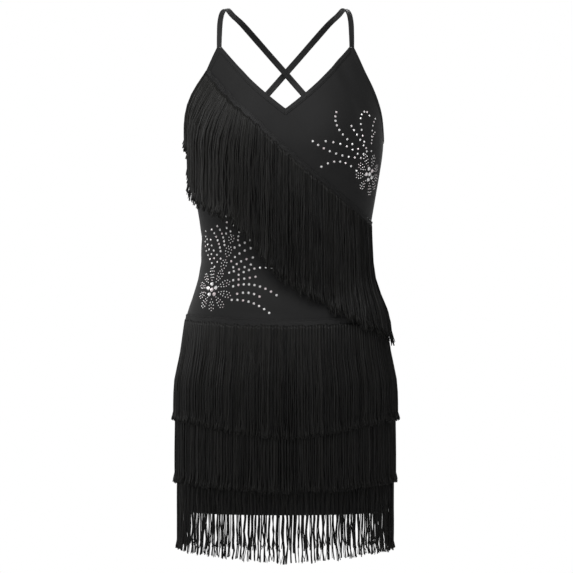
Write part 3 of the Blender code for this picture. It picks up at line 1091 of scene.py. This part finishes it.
def hangThreads(name, plan, root, tipZ, clear, clearOver, swing):
    # threads from their roots down to their ends, over the figure and what lies on it
    random = np.random.default_rng(plan["seed"])
    count = len(root)
    low, high = plan["clump"]
    clump = np.repeat(np.arange(count), random.integers(low, high + 1, count))[:count]

    def perClump(low, high):
        return random.uniform(low, high, clump[-1] + 1)[clump][:, None]

    def perThread(low, high):
        return random.uniform(low, high, count)[:, None]

    def swayOf(draw, size):
        return draw(*size) * np.sin(2 * math.pi * (fallen / draw(*plan["swayLength"]) + draw(0, 1)))

    angle = np.unwrap(np.arctan2(root[:, 0], -root[:, 1]))[:, None]
    middle = (np.bincount(clump, angle[:, 0]) / np.bincount(clump))[clump][:, None]
    offset = (angle - middle) * girth
    widest = np.maximum.reduceat(np.abs(offset[:, 0]), np.searchsorted(clump, np.arange(clump[-1] + 1)))
    rank = offset / np.maximum(widest[clump][:, None], threads["leastClump"])
    t = np.array(threads["stations"])[None, :]
    rootZ = root[:, 2:]
    clumpEnds, threadEnds = plan["uneven"]
    ragged = 1 + plan["raggedBack"] * np.clip(-np.cos(angle), 0, 1)
    ends = tipZ[:, None] + ragged * (perClump(-1, 1) * clumpEnds + perThread(-1, 1) * threadEnds)
    z = rootZ + (ends - rootZ) * t
    fallen = rootZ - z
    sway = swayOf(perClump, plan["clumpSway"]) + swayOf(perThread, plan["threadSway"])
    turned = (
        angle
        - offset / girth * perClump(*plan["pull"]) * smooth(t, *plan["gathers"])
        + swing[:, None] * np.sin(np.minimum(t / plan["swingShare"], 1) * quarterTurn)
        + sway * smooth(t, 0.0, threads["swayFrom"]) / girth
    )
    figureOut = furthestAbove(turned, z)
    turned = turned - threads["plumb"] * np.log(figureOut / figureOut[:, :1]) * np.sin(2 * turned)

    # the ends close in pairs and curl
    first = np.arange(count) // 2 * 2
    second = np.minimum(first + 1, count - 1)
    partner = (turned[first] + turned[second]) / 2
    closes = (random.uniform(0, 1, count)[second] < threads["paired"])[:, None]
    tipTurn = smooth(t, threads["tipShare"], 1.0)
    hookFrom, hookTurn, hookShare = threads["hook"]
    hook = np.sin(hookTurn * math.pi * np.clip((t - hookFrom) / (1 - hookFrom), 0, 1))
    curl = perThread(*plan["curl"]) * np.sign(perClump(-1, 1)) * (tipTurn + hookShare * hook)
    turned = turned + (partner - turned) * closes * tipTurn + curl / girth

    over = np.clip((plan["over"] - z) / threads["overSpan"] + 0.5, 0, 1)
    bulge = plan["bulge"] * np.sqrt(np.clip(1 - rank**2, 0, 1)) * perClump(*threads["clumpFullness"])
    stands = clear[:, None] + (clearOver - clear)[:, None] * over + bulge + perThread(0, threads["loose"])
    rootOut = np.hypot(root[:, 0], root[:, 1])[:, None] - reach(angle, rootZ)
    r = furthestAbove(turned, z) + rootOut + (stands - rootOut) * smooth(t, 0.0, plan["grows"])
    r = r + perThread(0, plan["curl"][1]) * tipTurn
    paths = np.stack([r * np.sin(turned), -r * np.cos(turned), z], axis=-1)
    radii = plan["radius"] * perThread(*threads["thickness"])
    radii = radii * (1 + plan["knot"] * smooth(t, threads["knotShare"], 1.0))
    share = threads["clumpTone"]
    # the last stretch of each thread is painted lighter: a painted highlight on the curled ends
    tones = perClump(0, 1) * share + perThread(0, 1) * (1 - share) + threads["tipHighlight"] * tipTurn
    # painted light: lighter tone at the angles where the lamps fall most
    tones = tones + np.interp(angle, *plan["paintedSideLight"])
    return makeThreads(name, paths, radii, tones)


def rootShares(plan):
    # how far up the tape each thread starts, in short runs of like ones
    random = np.random.default_rng(plan["seed"] + threads["rootSeed"])
    count, alike = plan["threads"], threads["rootRuns"]
    runs = random.uniform(0, 1, count // 3 + 1).repeat(3)[:count]
    low, high = threads["rootShares"]
    return low + (high - low) * (alike * runs + (1 - alike) * random.uniform(0, 1, count))


def faceOf(kind):
    # how far a tape's face is from the cloth
    return tape[kind]["gap"] + tape["thickness"]


def trimRoots(plan, tapePoint, kind):
    # where along its tape each thread starts, and the roots on the tape's face
    shares = (np.arange(plan["threads"]) + 0.5) / plan["threads"]
    return shares, tapePoint(shares, rootShares(plan), np.full(shares.size, faceOf(kind)))


def makeRound(label, plan):
    tapePoint = roundPoint(plan)
    makeTape("tape" + label, tapePoint, tape["round"], True)
    shares, root = trimRoots(plan, tapePoint, "round")
    tips = level(plan["tips"], np.arctan2(root[:, 0], -root[:, 1]))
    clear, clearOver, swing = np.outer((plan["clear"], plan["clearOver"], 0.0), np.ones(shares.size))
    piece = hangThreads("threads" + label, plan, root, tips, clear, clearOver, swing)
    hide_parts("fringe_" + label.lower())


def makeDiagonal():
    makeTape("tapeDiagonal", diagonalPoint, tape["diagonal"], False)
    shares, root = trimRoots(diagonal, diagonalPoint, "diagonal")
    angle = diagonalAngles(shares)
    fall, swing, clear, clearOver = along(np.array(diagonal["falls"]) / (1, mm, 1, mm, mm), angle)
    swing = np.where(np.abs(swing) < diagonal["leastSwing"], 0, swing)
    tips = diagonalMiddle(angle) - fall
    piece = hangThreads("threadsDiagonal", diagonal, root, tips, clear, clearOver, swing)
    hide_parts("fringe_diagonal")


def makeArmholeFringe():
    plan, count = armholeFringe, armholeFringe["threads"]
    ranges = (plan["heights"], plan["tips"], plan["swing"], plan["clear"])
    hung, tips, swing, clear = (np.linspace(*ends, count) for ends in ranges)
    shares, _, heights, _, _ = armholeEdge()
    fallen = np.interp(hung, heights[::-1], shares[::-1])
    root = armPoint(-1)(1 - fallen, *np.outer(plan["rootAt"], np.ones(count)))
    hangThreads("threadsArmhole", plan, root, tips, clear, clear, swing)


for label, plan in rounds.items():
    makeRound(label, plan)
makeDiagonal()
makeArmholeFringe()
print("fringe made")


stitching = {
    "radius": 0.00022,
    "lift": 0.0003,
    "pitch": 0.003,
    "filled": 0.62,
    # how far in from the edge and out from the cloth
    "binding": (0.006, 0.0011),
    "hem": (0.0048, 0.0007),
    # how far up the tapes
    "diagonal": 0.78,
    "round": 0.8,
    "tones": (0.3, 0.9),
    "seed": 21,
}


def stitchRow(pointAt, level, out, length):
    # a row of stitches at one level of an edge or tape, each dipping in at both ends
    count = round(length / stitching["pitch"])
    half = stitching["filled"] / 2 / count
    shares = (((np.arange(count) + 0.5) / count)[:, None] + np.array((-half, 0.0, half))).ravel()
    lifts = np.tile((-stitching["radius"], stitching["lift"], -stitching["radius"]), count) + out
    return pointAt(shares, np.full(shares.size, level), lifts).reshape(count, 3, 3)


def makeStitches():
    rows = []
    for name, (edgePoint, _, length) in edges.items():
        rows.append(stitchRow(edgePoint, *stitching["binding" if name == "neckBinding" else "hem"], length))
    tapes = [(diagonalPoint, "diagonal")] + [(roundPoint(plan), "round") for plan in rounds.values()]
    rows += [stitchRow(point, stitching[kind], faceOf(kind), tape[kind]["length"]) for point, kind in tapes]
    paths = np.concatenate(rows)
    random = np.random.default_rng(stitching["seed"])
    tones = random.uniform(*stitching["tones"], (len(paths), 1)).repeat(3, axis=1)
    return makeThreads("stitches", paths, np.full((len(paths), 3), stitching["radius"]), tones)


makeStitches()
print("stitches sewn")


stones = {
    "facets": 8,
    "rise": 0.62,  # height as a share of the radius
    "table": 0.5,  # the flat top's share of the radius
    "fineRadius": 0.00094,
    "fineStep": 0.0047,
    "seed": 5,
    "centreRadius": 0.0034,
    "ringRadius": 0.92,  # against the centre stone's
    "ringStones": 5,
    "centreRing": 0.0083,
    # more puts a petal's or leaf's widest part nearer the tip
    "petalSwell": 0.55,
    "leafSwell": 0.15,
    "fullness": 1.2,  # makes up for the width that swelling takes
    "petalMisses": (0.06, 0.05),  # how far petals are off their even turns and lengths
    "furthestRound": 0.7 * math.pi,  # no stone sits further round than this angle
    "tangentStep": (0.01, 0.001),  # in angle and height, to find which way the cloth faces
    "rib": (0.45, 0.75),  # where along a petal or leaf its middle stones are
}

# In mm. Each spray is one arc of stones: start, bend and end, then how many and their radius. Its
# places, as a flower's own, are how far round the cloth from the front centre and the height;
# for "frontSprays" they are seen from the front.
flowers = (
    {
        "name": "stonesWaist",
        "centre": (-117, -421),
        "petals": 10,
        "turn": 1.62,
        "squash": 0.84,  # draws the petals apart towards its top and foot, as the cloth turns away
        "petal": (14, 31, 4.6),  # start, end and half width
        "lean": 0.13,  # how much longer the petals are towards the front centre
        "sprays": (),
        "frontSprays": (
            (-77, -416, -46, -406, -13, -429, 9, 1.9),
            (-71, -427, -54, -422, -38, -431, 5, 1.9),
            (-79, -436, -49, -434, -24, -455, 8, 1.9),
            (-77, -407, -61, -405, -44, -402, 5, 1.8),
            (-69, -399, -43, -384, -11, -390, 8, 1.8),
            (-83, -396, -70, -392, -51, -384, 5, 1.8),
            (-77, -388, -66, -375, -37, -372, 6, 1.8),
            (-80, -379, -70, -366, -51, -360, 5, 1.8),
            (-75, -359, -64, -354, -52, -348, 4, 1.8),
            (-70, -348, -70, -343, -68, -336, 3, 1.6),
            (-105, -387, -123, -366, -119, -334, 9, 1.6),
            (-101, -380, -115, -367, -117, -346, 6, 1.6),
            (-96, -375, -109, -365, -111, -347, 5, 1.7),
            (-96, -364, -98, -348, -110, -332, 7, 1.8),
            (-90, -355, -91, -341, -101, -327, 6, 1.8),
            (-88, -338, -86, -326, -87, -313, 4, 1.7),
            (-81, -335, -79, -331, -77, -326, 2, 1.7),
        ),
        # leaves: across and height of the root, of the tip, half width
        "leaves": (
            (-99, -391, -92, -377, 4.2),
            (-90, -372, -85, -357, 4.4),
            (-84, -352, -81, -340, 4),
        ),
    },
    {
        "name": "stonesBust",
        "centre": (140.8, -250),
        "petals": 9,
        "turn": 1.92,
        "squash": 0.8,
        "petal": (13.5, 30, 4.6),
        "lean": 0.0,
        "sprays": (
            (75, -161, 64, -190, 126, -221, 10, 1.8),
            (100, -181, 111, -195, 133, -217, 6, 1.8),
            (139, -164, 130, -153, 122, -163, 4, 1.7),
            (119, -169, 118, -190, 131, -212, 6, 1.7),
            (155, -168, 143, -180, 144, -216, 7, 1.4),
            (154, -188, 148, -192, 145, -200, 4, 1.2),
            (40, -204, 70, -228, 120, -227, 9, 1.8),
            (59, -204, 88, -206, 113, -221, 6, 1.8),
            (53, -241, 82, -223, 111, -246, 7, 1.8),
        ),
        "frontSprays": (),
        "leaves": (),
    },
)


def acrossToAngle(across, z):
    # the angle that far round the cloth from the front centre, at a height
    fine = np.linspace(0, stones["furthestRound"], steps["front"])
    lengths = travelled(spot(fine, z, creased=False))
    return math.copysign(float(np.interp(abs(across), lengths, fine)), across)


def leafSpots(root, tip, halfWidth, swell):
    # small stones round a leaf's or petal's edge and down its middle
    length = np.linalg.norm(tip - root)
    turn = np.linspace(0, 2 * math.pi, steps["leaf"])
    far = (1 - np.cos(turn)) / 2
    edge = np.stack([far * length, halfWidth * np.sin(turn) * far**swell * stones["fullness"]], axis=-1)
    lengths = travelled(edge)
    count = round(lengths[-1] / stones["fineStep"])
    wanted = np.arange(count) / count * lengths[-1]
    spots = [(np.interp(at, lengths, edge[:, 0]), np.interp(at, lengths, edge[:, 1])) for at in wanted]
    spots += [(length * share, 0.0) for share in stones["rib"]]
    forward = (tip - root) / length
    sideways = np.array((-forward[1], forward[0]))
    return [(*(root + forward * x + sideways * y), stones["fineRadius"]) for x, y in spots]


def sprayStones(spray):
    *ends, count, radius = spray
    start, bend, end = np.reshape(ends, (3, 2)) / mm
    t = np.linspace(0, 1, count)[:, None]
    arc = start * (1 - t) ** 2 + 2 * bend * t * (1 - t) + end * t**2
    return [(*place, radius / mm) for place in arc]


def flowerSpots(flower):
    # every stone of a flower: angle, height, radius
    centre = np.array(flower["centre"]) / mm
    start, end, halfWidth = np.array(flower["petal"]) / mm
    placed = [(*centre, stones["centreRadius"])]
    for k in range(stones["ringStones"]):
        turn = flower["turn"] + 2 * math.pi * k / stones["ringStones"]
        ray = np.array((math.cos(turn), math.sin(turn)))
        placed.append((*(centre + ray * stones["centreRing"]), stones["centreRadius"] * stones["ringRadius"]))
    missesTurn, missesLength = stones["petalMisses"]
    for k in range(flower["petals"]):
        turn = flower["turn"] + 2 * math.pi * k / flower["petals"] + missesTurn * math.sin(5 * k)
        ray = unit(np.array((math.cos(turn), math.sin(turn) * flower["squash"])))
        tip = end * (1 + missesLength * math.sin(3 * k + 1) + flower["lean"] * max(ray[0], 0))
        placed += leafSpots(centre + ray * start, centre + ray * tip, halfWidth, stones["petalSwell"])
    for leaf in flower["leaves"]:
        *ends, width = np.array(leaf) / mm
        placed += leafSpots(np.array(ends[:2]), np.array(ends[2:]), width, stones["leafSwell"])
    for spray in flower["sprays"]:
        placed += sprayStones(spray)
    turned = [(acrossToAngle(across, z), z, radius) for across, z, radius in placed]
    for spray in flower["frontSprays"]:
        turned += [(float(angleAt(x, z)), z, radius) for x, z, radius in sprayStones(spray)]
    return turned


def makeStones(flower, seed):
    random = np.random.default_rng(seed)
    bm = bmesh.new()
    tone = bm.verts.layers.float.new("stoneTone")
    turn, rise = stones["tangentStep"]
    for angle, z, radius in flowerSpots(flower):
        right = Vector(spot(angle + turn, z) - spot(angle - turn, z))
        up = Vector(spot(angle, z + rise) - spot(angle, z - rise))
        outward = right.cross(up).normalized()
        depth = radius * stones["rise"]
        seat = Matrix.Translation(Vector(spot(angle, z)) + outward * depth / 2)
        facing = outward.to_track_quat("Z", "Y").to_matrix().to_4x4()
        turned = facing @ Matrix.Rotation(random.uniform(0, 1), 4, "Z")
        made = bmesh.ops.create_cone(
            bm, cap_ends=True, segments=stones["facets"], radius1=radius, radius2=radius * stones["table"],
            depth=depth, matrix=seat @ turned,
        )
        shade = random.uniform(0, 1)
        for vert in made["verts"]:
            vert[tone] = shade
    addPiece(flower["name"], meshFrom(flower["name"], bm), stoneFinish, smooth=False)


for k, flower in enumerate(flowers):
    makeStones(flower, stones["seed"] + k)
print("stones set")


studio = {
    "cameraDistance": 4.5,
    "cameraX": 0.0015,
    "cameraZ": -0.41625,
    "viewWidth": 0.8595,  # what the camera sees across at the dress
    "sensor": 36.0,
    "floorZ": -1.36,
    "floorSize": 3.0,
    "floor": {"Base Color": (0.86, 0.86, 0.86, 1), "Roughness": 0.9},
    "backdrop": 1.0,
    "ambient": 0.15,  # how brightly the backdrop lights the dress
    # name, place, size, power
    "lights": (
        ("key", (-0.2, -1.02, 0.54), 1.0, 12.5),
        ("fill", (-0.5, -3.0, -0.3), 1.6, 13.0),
        ("rimLeft", (-2.2, 0.6, 0.4), 1.4, 12.0),
        ("back", (0.6, 3.0, 0.8), 1.8, 60.0),
    ),
}


def makeFloor():
    bm = bmesh.new()
    bmesh.ops.create_circle(bm, cap_ends=True, segments=96, radius=studio["floorSize"])
    bmesh.ops.translate(bm, verts=bm.verts, vec=(0, 0, studio["floorZ"]))
    floor = addObject("studioFloor", meshFrom("studioFloor", bm))
    paint, _, _ = newMaterial("floorPaint", studio["floor"])
    floor.data.materials.append(paint)


def makeBackdrop():
    # white to the camera, dim as a light
    world = bpy.data.worlds.new("studioWorld")
    world.use_nodes = True
    tree = world.node_tree
    backdrop = tree.nodes["Background"]
    backdrop.inputs["Color"].default_value = (1, 1, 1, 1)
    seen = addNode(tree, "LightPath")
    shines = {"To Min": studio["ambient"], "To Max": studio["backdrop"]}
    strength = addNode(tree, "MapRange", values=shines)
    join(tree, (seen, "Is Camera Ray", strength, "Value"), (strength, "Result", backdrop, "Strength"))
    bpy.context.scene.world = world


def makeLights():
    target = Vector((0, 0, studio["cameraZ"]))
    for name, place, size, power in studio["lights"]:
        data = bpy.data.lights.new(name, "AREA")
        data.shape = "DISK"
        data.size = size
        data.energy = power
        light = addObject(name, data)
        light.location = place
        light.rotation_euler = (target - light.location).to_track_quat("-Z", "Y").to_euler()


def makeCamera():
    data = bpy.data.cameras.new("camera")
    data.sensor_width = studio["sensor"]
    data.lens = studio["sensor"] * studio["cameraDistance"] / studio["viewWidth"]
    camera = addObject("camera", data)
    camera.location = (studio["cameraX"], -studio["cameraDistance"], studio["cameraZ"])
    camera.rotation_euler = (quarterTurn, 0, 0)
    bpy.context.scene.camera = camera
    bpy.context.scene.view_settings.view_transform = "Standard"


makeFloor()
makeBackdrop()
makeLights()
makeCamera()
print("stage set")
